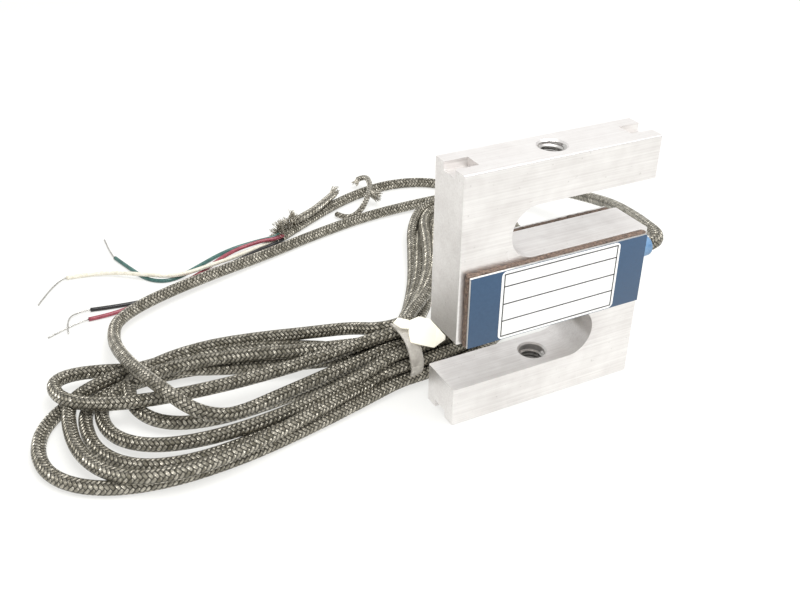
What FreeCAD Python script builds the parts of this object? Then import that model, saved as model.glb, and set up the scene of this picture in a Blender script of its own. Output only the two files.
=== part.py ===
import FreeCAD, Part
import Sketcher
import math
import os

# S type load cell with its shielded cable. Millimetres throughout.
# Frame: origin at the centre of the bottom face, +X to the cable exit,
# -Y the labelled face, +Z up through the two threaded holes.

os.makedirs("parts", exist_ok=True)
doc = FreeCAD.newDocument("s_type_load_cell")
Vec = FreeCAD.Vector
AXIS_X = Vec(1, 0, 0)
AXIS_Y = Vec(0, 1, 0)
AXIS_Z = Vec(0, 0, 1)

# ---------------------------------------------------------------- driving dimensions

SIZES = [
    ("body_width", 50.8, "S element, along X"),
    ("body_height", 63.5, "S element, along Z"),
    ("body_depth", 12.0, "S element, along Y"),
    ("arm_height", 10.16, "top and bottom arm"),
    ("slot_height", 12.7, "both slots"),
    ("slot_end_offset", 6.35, "round end centre from the middle"),
    ("edge_round", 0.35, "broken edges of the element"),
    ("thread_radius", 3.175, "major radius of the threaded holes"),
    ("hole_chamfer", 0.4, "mouth of each threaded hole"),
    ("notch_length", 5.7, "end grooves, along X"),
    ("notch_width", 4.6, "end grooves, along Y"),
    ("notch_depth", 1.9, "end grooves, along Z"),
    ("window_length", 30.0, "hidden gauge window, along X"),
    ("window_height", 11.4, "hidden gauge window, along Z"),
    ("window_corner", 2.5, "gauge window corner radius"),
    ("bore_radius", 2.2, "cable bore into the window"),
    ("cover_width", 47.4, "both cover stacks, along X"),
    ("cover_height", 17.7, "both cover stacks, along Z"),
    ("bed_thickness", 1.55, "brown sealing bed"),
    ("plate_thickness", 0.55, "cover plate"),
    ("film_thickness", 0.15, "blue label film"),
    ("panel_thickness", 0.08, "white ruled panel"),
    ("plate_lip", 0.2, "plate set back from the bed edge"),
    ("film_margin", 0.25, "film set back from the plate edge"),
    ("panel_width", 31.7, "white panel, along X"),
    ("panel_height", 16.9, "white panel, along Z"),
    ("panel_corner", 1.2, "white panel corner radius"),
    ("gauge_length", 6.0, "strain gauge carrier, along X"),
    ("gauge_width", 5.0, "strain gauge carrier, along Y"),
    ("gauge_thickness", 0.2, "strain gauge carrier"),
    ("gauge_spacing", 18.0, "between gauge centres, along X"),
    ("board_length", 9.0, "terminal board, along X"),
    ("board_height", 5.0, "terminal board, along Z"),
    ("board_thickness", 0.8, "terminal board"),
    ("cable_radius", 1.65, "shielded cable"),
    ("wire_radius", 0.6, "insulated wires"),
    ("strand_radius", 0.2, "bare tinned wire ends"),
    ("shield_radius", 1.1, "twisted shield tails"),
    ("boot_length", 6.3, "cable boot outside the element"),
    ("boot_root", 2.9, "boot radius at the element"),
    ("boot_tip", 2.5, "boot radius at the cable"),
    ("boot_plug", 4.0, "boot spigot inside the bore"),
    ("boot_tip_round", 0.7, "boot end rounding"),
    ("cable_bared", 2.0, "cable end that stands into the window"),
    ("cut_overrun", 1.0, "cutting tools past both ends of a cut"),
    ("tie_width", 3.0, "tie band, along the bundle"),
    ("tie_thickness", 0.8, "tie band"),
    ("neck_half_width", 7.4, "tied bundle, across"),
    ("neck_half_height", 6.0, "tied bundle, upright"),
    ("flag_length", 9.0, "tie flag, along X"),
    ("flag_height", 8.0, "tie flag, up its slope"),
    ("flag_thickness", 0.7, "tie flag"),
]

sheet = doc.addObject("Spreadsheet::Sheet", "sizes")
for row, (alias, value, note) in enumerate(SIZES, start=1):
    sheet.set(f"A{row}", note)
    sheet.set(f"B{row}", str(value))
    sheet.setAlias(f"B{row}", alias)
doc.recompute()


def size(alias):
    return float(sheet.get(alias))


def bind(obj, **links):
    """Bind properties of obj to expressions; double underscores stand for dots."""
    for name, expression in links.items():
        obj.setExpression(name.replace("__", "."), expression)


nodes = []


def keep(obj, label):
    obj.Label = label
    nodes.append(obj)
    return obj


BAR_CENTRE = "sizes.body_height / 2"
FRONT = "-sizes.body_depth / 2"

# ---------------------------------------------------------------- S element


def origin_plane(body, role):
    return next(f for f in body.Origin.OriginFeatures if f.Role == role)


def new_sketch(body, name, role):
    sketch = body.newObject("Sketcher::SketchObject", name)
    sketch.AttachmentSupport = [(origin_plane(body, role), "")]
    sketch.MapMode = "FlatFace"
    return sketch


def line(sketch, x0, y0, x1, y1):
    return sketch.addGeometry(Part.LineSegment(Vec(x0, y0, 0), Vec(x1, y1, 0)), False)


def dimension(sketch, constraint, name, expression):
    index = sketch.addConstraint(constraint)
    sketch.renameConstraint(index, name)
    sketch.setExpression(f"Constraints.{name}", expression)


def add_rectangle(sketch, tag, left, bottom, wide, high):
    """A rectangle by its left and bottom edge places (signed) and its two sizes."""
    number = [float(sketch.evalExpression(e)) for e in (left, bottom, wide, high)]
    x0, y0, w, h = number
    edges = [line(sketch, x0, y0, x0 + w, y0), line(sketch, x0 + w, y0, x0 + w, y0 + h),
             line(sketch, x0 + w, y0 + h, x0, y0 + h), line(sketch, x0, y0 + h, x0, y0)]
    for here, after in zip(edges, edges[1:] + edges[:1]):
        sketch.addConstraint(Sketcher.Constraint("Coincident", here, 2, after, 1))
    for edge, kind in zip(edges, ("Horizontal", "Vertical", "Horizontal", "Vertical")):
        sketch.addConstraint(Sketcher.Constraint(kind, edge))
    dimension(sketch, Sketcher.Constraint("DistanceX", -1, 1, edges[0], 1, x0), tag + "_left", left)
    dimension(sketch, Sketcher.Constraint("DistanceY", -1, 1, edges[0], 1, y0), tag + "_bottom", bottom)
    dimension(sketch, Sketcher.Constraint("DistanceX", edges[0], 1, edges[0], 2, w), tag + "_wide", wide)
    dimension(sketch, Sketcher.Constraint("DistanceY", edges[1], 1, edges[1], 2, h), tag + "_high", high)


def add_circle(sketch, tag, x, y, radius):
    cx, cy, r = [float(sketch.evalExpression(e)) for e in (x, y, radius)]
    ring = sketch.addGeometry(Part.Circle(Vec(cx, cy, 0), AXIS_Z, r), False)
    if x == "0":
        sketch.addConstraint(Sketcher.Constraint("PointOnObject", ring, 3, -2))
    else:
        dimension(sketch, Sketcher.Constraint("DistanceX", -1, 1, ring, 3, cx), tag + "_x", x)
    if y == "0":
        sketch.addConstraint(Sketcher.Constraint("PointOnObject", ring, 3, -1))
    else:
        dimension(sketch, Sketcher.Constraint("DistanceY", -1, 1, ring, 3, cy), tag + "_y", y)
    dimension(sketch, Sketcher.Constraint("Radius", ring, r), tag + "_radius", radius)


def add_slot(sketch, tag, end_x, mouth_x, floor):
    """A slot with one round end: its end centre, its open mouth and its floor height."""
    xc, xm, z0 = [float(sketch.evalExpression(e)) for e in (end_x, mouth_x, floor)]
    high = size("slot_height")
    mid = z0 + high / 2
    low = line(sketch, xc, z0, xm, z0)
    mouth = line(sketch, xm, z0, xm, z0 + high)
    top = line(sketch, xm, z0 + high, xc, z0 + high)
    turn = 1 if xm > xc else -1
    first = math.pi / 2 if turn > 0 else -math.pi / 2
    circle = Part.Circle(Vec(xc, mid, 0), AXIS_Z, high / 2)
    end = sketch.addGeometry(Part.ArcOfCircle(circle, first, first + math.pi), False)
    at_top, at_low = (1, 2) if turn > 0 else (2, 1)
    sketch.addConstraint(Sketcher.Constraint("Coincident", low, 2, mouth, 1))
    sketch.addConstraint(Sketcher.Constraint("Coincident", mouth, 2, top, 1))
    sketch.addConstraint(Sketcher.Constraint("Tangent", top, 2, end, at_top))
    sketch.addConstraint(Sketcher.Constraint("Tangent", end, at_low, low, 1))
    sketch.addConstraint(Sketcher.Constraint("Horizontal", low))
    sketch.addConstraint(Sketcher.Constraint("Horizontal", top))
    sketch.addConstraint(Sketcher.Constraint("Vertical", mouth))
    dimension(sketch, Sketcher.Constraint("DistanceX", -1, 1, end, 3, xc), tag + "_end", end_x)
    dimension(sketch, Sketcher.Constraint("DistanceX", -1, 1, mouth, 1, xm), tag + "_mouth", mouth_x)
    dimension(sketch, Sketcher.Constraint("DistanceY", -1, 1, low, 1, z0), tag + "_floor", floor)
    dimension(sketch, Sketcher.Constraint("DistanceY", mouth, 1, mouth, 2, high), tag + "_high",
              "sizes.slot_height")


def through_pocket(body, name, sketch):
    pocket = body.newObject("PartDesign::Pocket", name)
    pocket.Profile = sketch
    pocket.Type = "ThroughAll"
    pocket.SideType = "Symmetric"
    return pocket


def blind_pocket(body, name, sketch, depth, reversed_way):
    pocket = body.newObject("PartDesign::Pocket", name)
    pocket.Profile = sketch
    pocket.Type = "Length"
    pocket.Reversed = reversed_way
    bind(pocket, Length=depth)
    return pocket


def make_load_cell_body():
    body = doc.addObject("PartDesign::Body", "load_cell_body")
    mouth_run = size("edge_round")

    blank = new_sketch(body, "blank_outline", "XZ_Plane")
    add_rectangle(blank, "blank", "-sizes.body_width / 2", "0", "sizes.body_width", "sizes.body_height")
    pad = body.newObject("PartDesign::Pad", "blank")
    pad.Profile = blank
    pad.SideType = "Symmetric"
    bind(pad, Length="sizes.body_depth")
    doc.recompute()

    slots = new_sketch(body, "slot_outlines", "XZ_Plane")
    add_slot(slots, "lower", "sizes.slot_end_offset", "-sizes.body_width / 2 - 1", "sizes.arm_height")
    add_slot(slots, "upper", "-sizes.slot_end_offset", "sizes.body_width / 2 + 1",
             "sizes.body_height - sizes.arm_height - sizes.slot_height")
    through_pocket(body, "slots", slots)
    doc.recompute()

    window = new_sketch(body, "window_outline", "XZ_Plane")
    add_rectangle(window, "window", "-sizes.window_length / 2",
                  "(sizes.body_height - sizes.window_height) / 2",
                  "sizes.window_length", "sizes.window_height")
    through_pocket(body, "window", window)
    doc.recompute()

    bore = new_sketch(body, "bore_outline", "YZ_Plane")
    bore.setExpression("AttachmentOffset.Base.z", "sizes.body_width / 2")
    add_circle(bore, "bore", "0", BAR_CENTRE, "sizes.bore_radius")
    blind_pocket(body, "cable_bore", bore, "(sizes.body_width - sizes.window_length) / 2 + 1", False)
    doc.recompute()

    for level, height, flip in (("bottom", "0", True), ("top", "sizes.body_height", False)):
        hole = new_sketch(body, level + "_hole_outline", "XY_Plane")
        hole.setExpression("AttachmentOffset.Base.z", height)
        add_circle(hole, level, "0", "0", "sizes.thread_radius")
        blind_pocket(body, level + "_hole", hole, "sizes.arm_height", flip)
        doc.recompute()
        notch = new_sketch(body, level + "_notch_outline", "XY_Plane")
        notch.setExpression("AttachmentOffset.Base.z", height)
        for side, left in (("near", "-sizes.body_width / 2"),
                           ("far", "sizes.body_width / 2 - sizes.notch_length")):
            add_rectangle(notch, side, left, "-sizes.notch_width / 2", "sizes.notch_length",
                          "sizes.notch_width")
        blind_pocket(body, level + "_notches", notch, "sizes.notch_depth", flip)
        doc.recompute()

    last = body.Tip
    corners = [f"Edge{i}" for i, edge in enumerate(last.Shape.Edges, start=1) if is_window_corner(edge)]
    rounding = body.newObject("PartDesign::Fillet", "window_corners")
    rounding.Base = (last, corners)
    bind(rounding, Radius="sizes.window_corner")
    doc.recompute()

    mouths = [f"Edge{i}" for i, edge in enumerate(rounding.Shape.Edges, start=1) if is_hole_mouth(edge)]
    bevel = body.newObject("PartDesign::Chamfer", "hole_mouths")
    bevel.Base = (rounding, mouths)
    bind(bevel, Size="sizes.hole_chamfer")
    doc.recompute()

    outer = [f"Edge{i}" for i, edge in enumerate(bevel.Shape.Edges, start=1)
             if is_outer_edge(edge, mouth_run)]
    broken = body.newObject("PartDesign::Fillet", "edge_break")
    broken.Base = (bevel, outer)
    bind(broken, Radius="sizes.edge_round")
    body.Tip = broken
    doc.recompute()
    return keep(body, "load_cell_body")


def is_window_corner(edge):
    """The four edges along Y inside the gauge window."""
    box = edge.BoundBox
    along_y = box.YLength > size("body_depth") - 1 and box.XLength < 0.01 and box.ZLength < 0.01
    inside = abs(abs(box.Center.x) - size("window_length") / 2) < 0.01
    level = abs(abs(box.Center.z - size("body_height") / 2) - size("window_height") / 2) < 0.01
    return along_y and inside and level


def is_hole_mouth(edge):
    """The four circles where a threaded hole meets an arm face."""
    if not isinstance(edge.Curve, Part.Circle):
        return False
    return abs(edge.Curve.Radius - size("thread_radius")) < 0.001


def is_outer_edge(edge, reach):
    """The straight outline edges of the front and rear faces and the four tall corners."""
    box = edge.BoundBox
    if not isinstance(edge.Curve, Part.Line) or edge.Length < 4 * reach:
        return False
    half_width = size("body_width") / 2
    half_depth = size("body_depth") / 2
    on_end = abs(abs(box.Center.x) - half_width) < 0.01
    on_face = abs(abs(box.Center.y) - half_depth) < 0.01
    on_top = abs(box.Center.z) < 0.01 or abs(box.Center.z - size("body_height")) < 0.01
    along_x = box.XLength > 1 and on_face and on_top and box.ZLength < 0.01
    along_z = box.ZLength > 1 and on_face and on_end
    return along_x or along_z


# ---------------------------------------------------------------- covers and label


def box(name, x_size, y_size, z_size, x, y, z):
    """A block by its three sizes and its low corner, all expressions."""
    block = doc.addObject("Part::Box", name)
    bind(block, Length=x_size, Width=y_size, Height=z_size,
         Placement__Base__x=x, Placement__Base__y=y, Placement__Base__z=z)
    return block


def stack_plate(name, inset, thickness, start, front):
    """One layer of a cover stack, centred on the bar; start is its distance from the bar's face."""
    wide = f"sizes.cover_width - 2 * ({inset})"
    high = f"sizes.cover_height - 2 * ({inset})"
    near = f"-sizes.body_depth / 2 - ({start}) - {thickness}" if front else f"sizes.body_depth / 2 + ({start})"
    return keep(box(name, wide, thickness, high, f"-({wide}) / 2", near, f"{BAR_CENTRE} - ({high}) / 2"), name)


def make_covers():
    lip = "sizes.plate_lip"
    film_inset = "sizes.plate_lip + sizes.film_margin"
    stack_plate("front_sealing_bed", "0", "sizes.bed_thickness", "0", True)
    stack_plate("front_cover_plate", lip, "sizes.plate_thickness", "sizes.bed_thickness", True)
    stack_plate("label_film", film_inset, "sizes.film_thickness",
                "sizes.bed_thickness + sizes.plate_thickness", True)
    stack_plate("rear_sealing_bed", "0", "sizes.bed_thickness", "0", False)
    stack_plate("rear_cover_plate", lip, "sizes.plate_thickness", "sizes.bed_thickness", False)


def make_label_panel():
    """White rounded panel that lies on the film."""
    under = "sizes.bed_thickness + sizes.plate_thickness + sizes.film_thickness"
    blank = box("panel_blank", "sizes.panel_width", "sizes.panel_thickness", "sizes.panel_height",
                "-sizes.panel_width / 2", f"{FRONT} - ({under}) - sizes.panel_thickness",
                f"{BAR_CENTRE} - sizes.panel_height / 2")
    doc.recompute()
    corner = size("panel_corner")
    panel = doc.addObject("Part::Fillet", "label_panel")
    panel.Base = blank
    panel.Edges = [(i, corner, corner) for i, edge in enumerate(blank.Shape.Edges, start=1)
                   if edge.BoundBox.XLength < corner / 10 and edge.BoundBox.ZLength < corner / 10]
    return keep(panel, "label_panel")


# ---------------------------------------------------------------- inside the gauge window


def make_gauges():
    """Four carriers bonded to the floor and the roof of the window, over its thin walls."""
    floor = f"{BAR_CENTRE} - sizes.window_height / 2"
    roof = f"{BAR_CENTRE} + sizes.window_height / 2 - sizes.gauge_thickness"
    for level, height in (("lower", floor), ("upper", roof)):
        for side, centre in (("left", "-sizes.gauge_spacing / 2"), ("right", "sizes.gauge_spacing / 2")):
            name = f"strain_gauge_{level}_{side}"
            keep(box(name, "sizes.gauge_length", "sizes.gauge_width", "sizes.gauge_thickness",
                     f"{centre} - sizes.gauge_length / 2", "-sizes.gauge_width / 2", height), name)


def make_terminal_board():
    """Small solder board bonded inside the rear cover's bed."""
    return keep(box("terminal_board", "sizes.board_length", "sizes.board_thickness", "sizes.board_height",
                    "-sizes.board_length / 2", "sizes.body_depth / 2 - sizes.board_thickness",
                    f"{BAR_CENTRE} - sizes.board_height / 2"), "terminal_board")


# ---------------------------------------------------------------- cable boot and inner cable end


def along_x(obj):
    obj.Placement = FreeCAD.Placement(Vec(0, 0, 0), FreeCAD.Rotation(AXIS_Y, 90))
    return obj


def make_cable_boot():
    """Blue sleeve: a cone outside, a spigot in the bore, bored for the cable."""
    cone = along_x(doc.addObject("Part::Cone", "boot_cone"))
    bind(cone, Radius1="sizes.boot_root", Radius2="sizes.boot_tip", Height="sizes.boot_length",
         Placement__Base__x="sizes.body_width / 2", Placement__Base__z=BAR_CENTRE)
    doc.recompute()
    soft = size("boot_tip_round")
    dome = doc.addObject("Part::Fillet", "boot_dome")
    dome.Base = cone
    dome.Edges = [(i, soft, soft) for i, edge in enumerate(cone.Shape.Edges, start=1)
                  if edge.BoundBox.XLength < soft and edge.BoundBox.Center.x > size("body_width") / 2 + soft]
    spigot = along_x(doc.addObject("Part::Cylinder", "boot_spigot"))
    bind(spigot, Radius="sizes.bore_radius", Height="sizes.boot_plug",
         Placement__Base__x="sizes.body_width / 2 - sizes.boot_plug", Placement__Base__z=BAR_CENTRE)
    outer = doc.addObject("Part::MultiFuse", "boot_outer")
    outer.Shapes = [dome, spigot]
    bore = along_x(doc.addObject("Part::Cylinder", "boot_bore"))
    bind(bore, Radius="sizes.cable_radius", Height="sizes.boot_plug + sizes.boot_length + 2 * sizes.cut_overrun",
         Placement__Base__x="sizes.body_width / 2 - sizes.boot_plug - sizes.cut_overrun", Placement__Base__z=BAR_CENTRE)
    boot = doc.addObject("Part::Cut", "cable_boot")
    boot.Base = outer
    boot.Tool = bore
    return keep(boot, "cable_boot")


def make_inner_cable():
    """The cable's inner end, from inside the window to the mouth of the boot."""
    inner = along_x(doc.addObject("Part::Cylinder", "inner_cable"))
    bind(inner, Radius="sizes.cable_radius",
         Height="sizes.body_width / 2 - sizes.window_length / 2 + sizes.boot_length + sizes.cable_bared",
         Placement__Base__x="sizes.window_length / 2 - sizes.cable_bared", Placement__Base__z=BAR_CENTRE)
    return keep(inner, "inner_cable")


# ---------------------------------------------------------------- cords

RUN_SHARE = 0.45
LEAST_SWEEP_RATIO = 0.97


def rounded_path(points):
    """Straight runs joined by tangent arcs, and the smallest arc radius."""
    corners = [Vec(*p) for p in points]
    edges = []
    smallest = math.inf
    start = corners[0]
    for before, corner, after in zip(corners, corners[1:], corners[2:]):
        back = (before - corner).normalize()
        onward = (after - corner).normalize()
        half_turn = (math.pi - back.getAngle(onward)) / 2
        reach = RUN_SHARE * min((before - corner).Length, (after - corner).Length)
        radius = reach / math.tan(half_turn)
        smallest = min(smallest, radius)
        enter = corner + back * reach
        leave = corner + onward * reach
        bisector = (back + onward).normalize()
        centre = corner + bisector * (radius / math.cos(half_turn))
        middle = centre - bisector * radius
        edges.append(Part.LineSegment(start, enter).toShape())
        edges.append(Part.Arc(enter, middle, leave).toShape())
        start = leave
    edges.append(Part.LineSegment(start, corners[-1]).toShape())
    return Part.Wire(edges), smallest


def tube(points, radius):
    path, smallest = rounded_path(points)
    heading = (Vec(*points[1]) - Vec(*points[0])).normalize()
    ring = Part.Wire([Part.Circle(Vec(*points[0]), heading, radius).toShape()])
    solid = path.makePipe(Part.Face(ring))
    expected = math.pi * radius ** 2 * path.Length
    if solid.Volume < LEAST_SWEEP_RATIO * expected:
        raise ValueError(f"tube volume {solid.Volume:.1f} against {expected:.1f}")
    return solid, path.Length, smallest


def make_tube(name, points, radius_alias):
    radius = size(radius_alias)
    solid, length, smallest = tube(points, radius)
    feature = doc.addObject("Part::Feature", name)
    feature.Shape = solid
    print(f"{name}: length {length:.1f}, diameter {2 * radius:.2f}, smallest radius {smallest:.2f}")
    return keep(feature, name)


# Points are chosen by hand, in order from the fixed end.
EXIT_X = size("body_width") / 2 + size("boot_length")
EXIT_Z = size("body_height") / 2

CABLE_LEAD = [
    (EXIT_X, 0, EXIT_Z), (34.6, 0, EXIT_Z), (37.2, 2.8, 32.1), (38.9, 8.2, 31.2), (44.6, 19.8, 27.6),
    (52.6, 37.8, 21.7), (59.0, 56.3, 14.8), (60.6, 71.6, 10.2), (54.6, 84.0, 7.0), (42.0, 93.4, 4.6),
    (23.5, 99.2, 2.2), (1.5, 98.8, 1.7), (-18.0, 94.2, 1.7), (-37.5, 88.0, 1.7), (-56.7, 83.3, 1.7),
    (-74.5, 77.4, 1.7), (-85.4, 69.6, 2.6), (-88.6, 60.0, 4.2),
]
CABLE_TAIL = [
    (48.6, 62.0, 3.0), (50.2, 76.0, 1.7), (50.0, 91.0, 1.65), (44.6, 105.0, 1.65), (34.0, 114.0, 1.65),
    (19.6, 118.4, 1.65), (3.6, 114.8, 1.65), (-11.3, 107.6, 1.65), (-27.9, 97.6, 1.65),
]
FIRST_RUN = 2.6
WIRE_SPREAD = 0.7


def heading_at_end(points):
    return (Vec(*points[-1]) - Vec(*points[-2])).normalize()


def carry_on(points, more):
    """A thinner piece that goes straight on from the end of a tube before it turns."""
    onward = Vec(*points[-1]) + heading_at_end(points) * FIRST_RUN
    return [points[-1], tuple(onward)] + more


def from_cut_end(across, upright, points):
    """A wire leaves the cut end of the cable square to it, at its own place in the core."""
    heading = heading_at_end(CABLE_TAIL)
    side = Vec(heading.y, -heading.x, 0)
    start = Vec(*CABLE_TAIL[-1]) + side * (across * WIRE_SPREAD) + AXIS_Z * (upright * WIRE_SPREAD)
    return [tuple(start), tuple(start + heading * FIRST_RUN)] + points


WIRES = {
    "green": from_cut_end(1, 1, [(-35.4, 98.8, 1.3), (-45.6, 98.4, 0.6), (-56.4, 92.6, 0.6), (-65.4, 87.4, 0.6),
                                 (-71.6, 90.4, 0.6), (-74.6, 98.8, 0.6), (-77.4, 108.6, 0.6)]),
    "white": from_cut_end(1, -1, [(-35.6, 96.2, 0.8), (-44.6, 92.8, 0.9), (-53.4, 88.8, 2.3),
                                  (-64.6, 87.0, 1.9), (-74.4, 94.0, 1.9), (-83.4, 101.6, 0.7),
                                  (-92.9, 102.8, 0.6)]),
    "red": from_cut_end(-1, 1, [(-35.4, 96.9, 2.2), (-46.0, 95.4, 1.4), (-56.4, 88.6, 0.62), (-64.5, 84.6, 1.9),
                                (-74.0, 80.6, 1.9), (-83.0, 76.5, 0.8), (-91.8, 77.2, 0.6)]),
    "black": from_cut_end(-1, -1, [(-35.4, 94.6, 0.7), (-43.6, 91.4, 0.6), (-50.6, 88.0, 0.6),
                                   (-65.0, 83.6, 0.6), (-78.5, 79.6, 0.6), (-90.3, 81.9, 0.6)]),
}
BARE_ENDS = {
    "green": carry_on(WIRES["green"], [(-77.6, 122.5, 0.3)]),
    "white": carry_on(WIRES["white"], [(-102.7, 91.4, 0.3)]),
    "red": carry_on(WIRES["red"], [(-103.2, 73.2, 0.3)]),
    "black": carry_on(WIRES["black"], [(-97.4, 79.4, 1.1), (-98.0, 72.6, 0.6)]),
}
SHIELD_TAILS = {
    "shield_tail_laid": [(-21.4, 101.4, 4.7), (-14.8, 103.6, 4.85), (-8.4, 108.8, 4.7), (-2.0, 115.6, 3.4)],
    "shield_tail_hooked": [(-5.4, 105.4, 1.2), (-3.6, 102.6, 1.3), (0.4, 102.2, 2.9), (4.6, 105.6, 5.0),
                           (9.0, 112.6, 5.2), (12.6, 119.6, 4.0), (10.0, 123.0, 2.2)],
}
INNER_LEADS = {
    "inner_lead_red": (0.8, 1.2), "inner_lead_black": (0.8, -1.2),
    "inner_lead_green": (-0.8, 1.2), "inner_lead_white": (-0.8, -1.2),
}
PAD_INSET = 1.2


def make_cords():
    make_tube("cable_lead", CABLE_LEAD, "cable_radius")
    make_tube("cable_tail", CABLE_TAIL, "cable_radius")
    for colour, points in WIRES.items():
        make_tube("wire_" + colour, points, "wire_radius")
    for colour, points in BARE_ENDS.items():
        make_tube("bare_end_" + colour, points, "strand_radius")
    for name, points in SHIELD_TAILS.items():
        make_tube(name, points, "shield_radius")


def make_inner_leads():
    """Each lead runs from the cable's inner end to its pad on the board."""
    start_x = size("window_length") / 2 - size("cable_bared")
    pad_y = size("body_depth") / 2 - size("board_thickness")
    for name, (across, upright) in INNER_LEADS.items():
        pad_x = size("board_length") / 2 - PAD_INSET + across
        level = EXIT_Z + upright
        make_tube(name, [(start_x, across, level), (pad_x, across, level), (pad_x, pad_y, level)], "strand_radius")


# ---------------------------------------------------------------- hank and tie

TIE_X = -26.0
TIE_Y = 18.2
NECK_SETBACK = 0.4
NECK_LENGTH_RATIO = 3
RING_END = 1.0
RING_START = 1.6
SECTION_SIDES = 14
FLAG_CORNER = (-26.0, 9.6, 12.2)
FLAG_LEAN = -60.0
FLAG_TURN = -8.0


def neck_centre(x):
    return (x, TIE_Y, size("neck_half_height") + size("tie_thickness"))


def neck_station(x):
    """A ring's end, a little inside the neck that joins both rings."""
    return (*neck_centre(x), size("neck_half_width") - NECK_SETBACK, size("neck_half_height") - NECK_SETBACK)


# Each station of a bundle: centre x, centre y, centre z, half width, half height.
LEFT_END = (-103.6, 29.0, 3.7, 11.0, 3.5)
RIGHT_END = (41.6, 58.0, 4.4, 6.0, 4.2)
BUNDLES = {
    "left far side": [neck_station(TIE_X - RING_END), (-40.0, 27.0, 6.2, 8.4, 5.9), (-57.0, 36.0, 5.3, 10.2, 5.1),
                      (-76.0, 41.6, 4.6, 10.8, 4.4), (-94.0, 43.6, 4.3, 10.6, 4.1), LEFT_END],
    "left near side": [LEFT_END, (-99.6, 15.0, 3.6, 10.4, 3.4), (-84.0, 10.4, 4.0, 8.6, 3.8),
                       (-64.0, 12.6, 4.6, 9.2, 4.4), (-43.0, 15.2, 5.8, 8.4, 5.5),
                       neck_station(TIE_X - RING_START)],
    "right near side": [neck_station(TIE_X + RING_END), (-11.0, 15.6, 6.0, 6.0, 5.7), (6.0, 15.6, 5.2, 6.0, 4.9),
                        (27.0, 22.4, 4.7, 6.0, 4.5), (40.0, 42.0, 4.4, 6.0, 4.2), RIGHT_END],
    "right far side": [RIGHT_END, (34.0, 84.0, 4.3, 6.0, 4.1), (22.0, 89.0, 4.2, 6.2, 4.0),
                       (10.6, 76.0, 4.2, 5.8, 4.0), (2.0, 57.0, 4.3, 5.6, 4.1), (-6.5, 38.0, 5.0, 6.4, 4.8),
                       neck_station(TIE_X + RING_START)],
}


def bundle_section(centre, heading, half_width, half_height):
    """Flattened many-sided outline across a bundle."""
    side = Vec(-heading.y, heading.x, 0).normalize()
    corners = []
    for i in range(SECTION_SIDES):
        angle = 2 * math.pi * (i + 0.5) / SECTION_SIDES
        corners.append(centre + side * (half_width * math.cos(angle)) + AXIS_Z * (half_height * math.sin(angle)))
    return Part.makePolygon(corners + corners[:1])


def station_heading(centres, i):
    """Level direction of a bundle at station i; rings cross their end stations along Y."""
    if i in (0, len(centres) - 1) and abs(centres[i].x - TIE_X) > size("tie_width"):
        return AXIS_Y
    if i in (0, len(centres) - 1):
        return AXIS_X
    heading = centres[i + 1] - centres[i - 1]
    heading.z = 0
    return heading.normalize()


def bundle(stations):
    """One bundle of strands as a solid through its elliptical stations."""
    centres = [Vec(*s[:3]) for s in stations]
    wires = []
    for i, (centre, station) in enumerate(zip(centres, stations)):
        onward = centres[min(i + 1, len(centres) - 1)] - centres[max(i - 1, 0)]
        heading = station_heading(centres, i)
        if heading.dot(onward) < 0:
            heading = heading * -1
        wires.append(bundle_section(centre, heading, station[3], station[4]))
    return Part.makeLoft(wires, True, True)


def neck_cylinder(grow, length):
    centre = Vec(*neck_centre(TIE_X - length / 2))
    half_width = size("neck_half_width") + grow
    half_height = size("neck_half_height") + grow
    outline = Part.Ellipse(centre + AXIS_Y * half_width, centre + AXIS_Z * half_height, centre)
    return Part.Face(Part.Wire([outline.toShape()])).extrude(AXIS_X * length)


def make_hank_and_tie():
    neck_length = NECK_LENGTH_RATIO * size("tie_width")
    hank_shape = neck_cylinder(0, neck_length)
    for stations in BUNDLES.values():
        hank_shape = hank_shape.fuse(bundle(stations))
    hank_shape = hank_shape.Solids[0]
    hank = doc.addObject("Part::Feature", "cable_hank")
    hank.Shape = hank_shape
    keep(hank, "cable_hank")

    band_shape = neck_cylinder(size("tie_thickness"), size("tie_width")).cut(hank_shape)
    band = doc.addObject("Part::Feature", "tie_band")
    band.Shape = band_shape
    keep(band, "tie_band")


def make_tie_flag():
    """Folded end of the tie, a flat plate on the slope of the bundle that faces the label's side."""
    blank = doc.addObject("Part::Box", "flag_blank")
    bind(blank, Length="sizes.flag_length", Width="sizes.flag_thickness", Height="sizes.flag_height")
    lean = FreeCAD.Rotation(AXIS_X, FLAG_LEAN)
    blank.Placement = FreeCAD.Placement(Vec(*FLAG_CORNER), FreeCAD.Rotation(AXIS_Z, FLAG_TURN).multiply(lean))
    return keep(blank, "tie_flag")


# ---------------------------------------------------------------- build, check, export

make_load_cell_body()
make_covers()
make_label_panel()
make_gauges()
make_terminal_board()
make_cable_boot()
make_inner_cable()
make_inner_leads()
make_cords()
make_hank_and_tie()
make_tie_flag()
doc.recompute()

for obj in doc.Objects:
    if "Invalid" in obj.State or "Error" in obj.State:
        raise RuntimeError(f"{obj.Name} did not compute: {obj.State}")

for node in nodes:
    shape = node.Shape
    if shape.isNull() or not shape.isValid() or len(shape.Solids) != 1:
        raise RuntimeError(f"{node.Label}: not one valid solid ({len(shape.Solids)})")
    shape.exportStep(f"parts/{node.Label}.step")
print(f"{len(nodes)} nodes")
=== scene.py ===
import math
import random

import bpy
from mathutils import Matrix, Vector


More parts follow.
